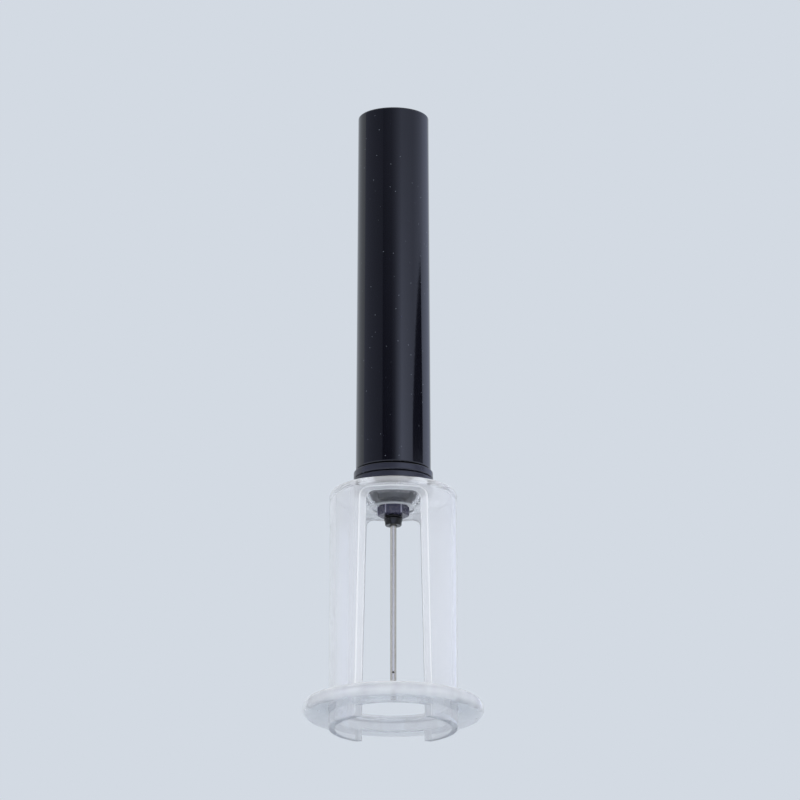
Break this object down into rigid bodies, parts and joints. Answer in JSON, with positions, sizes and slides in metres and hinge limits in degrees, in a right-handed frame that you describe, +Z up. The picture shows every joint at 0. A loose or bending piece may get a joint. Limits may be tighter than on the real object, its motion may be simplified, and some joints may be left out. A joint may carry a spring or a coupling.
{
  "type": "air pump wine opener",
  "caption": "Hand pump wine opener: a tapered black sleeve slides on a piston tube, a hollow needle passes air through the cork, and a clear windowed guide fits over the bottle neck.",
  "frame": {"origin": "on the pump's axis, in the plane of the guide's lower end, which the opener stands on", "axes": "+Z up along the pump's axis, from the guide to the sleeve's closed end; -Y towards the front window"},
  "size_m": [0.069, 0.069, 0.2451],
  "materials": {
    "black_abs": "gloss",
    "dark_grey_abs": "gloss",
    "clear_styrene": "clear, polished",
    "stainless_steel": "ground",
    "aluminium_tube": "drawn",
    "white_acetal": "moulded",
    "black_rubber": "moulded"
  },
  "bodies": {
    "pump_base": {"base_collar": "black_abs", "nose_cone": "black_abs", "base_seal": "black_rubber", "landing_ring": "black_rubber", "needle_nut": "dark_grey_abs", "needle_hub": "black_abs", "hub_gasket": "black_rubber", "needle": "stainless_steel", "piston_tube": "aluminium_tube", "stroke_bumper": "black_rubber", "piston_head": "white_acetal", "piston_seal": "black_rubber", "valve_seat": "black_rubber", "valve_cage": "white_acetal", "valve_spring": "stainless_steel"},
    "handle": {"handle_sleeve": "black_abs", "end_cap": "black_abs", "cap_seal": "black_rubber", "pump_barrel": "aluminium_tube", "barrel_bush": "white_acetal"},
    "guide": {"bottle_guide": "clear_styrene"},
    "valve": {"valve_ball": "stainless_steel"}
  },
  "joints": [
    {"name": "handle_slide", "type": "slide", "parent": "pump_base", "child": "handle", "axis": [0, 0, 1], "range_m": [0, 0.102]},
    {"name": "guide_pull", "type": "slide", "parent": "pump_base", "child": "guide", "axis": [0, 0, -1], "range_m": [0, 0.085]},
    {"name": "valve_lift", "type": "slide", "parent": "pump_base", "child": "valve", "axis": [0, 0, -1], "range_m": [0, 0.0012], "stiffness_N_per_m": 60, "springref_m": -0.0006, "deforming": ["valve_spring"]}
  ]
}
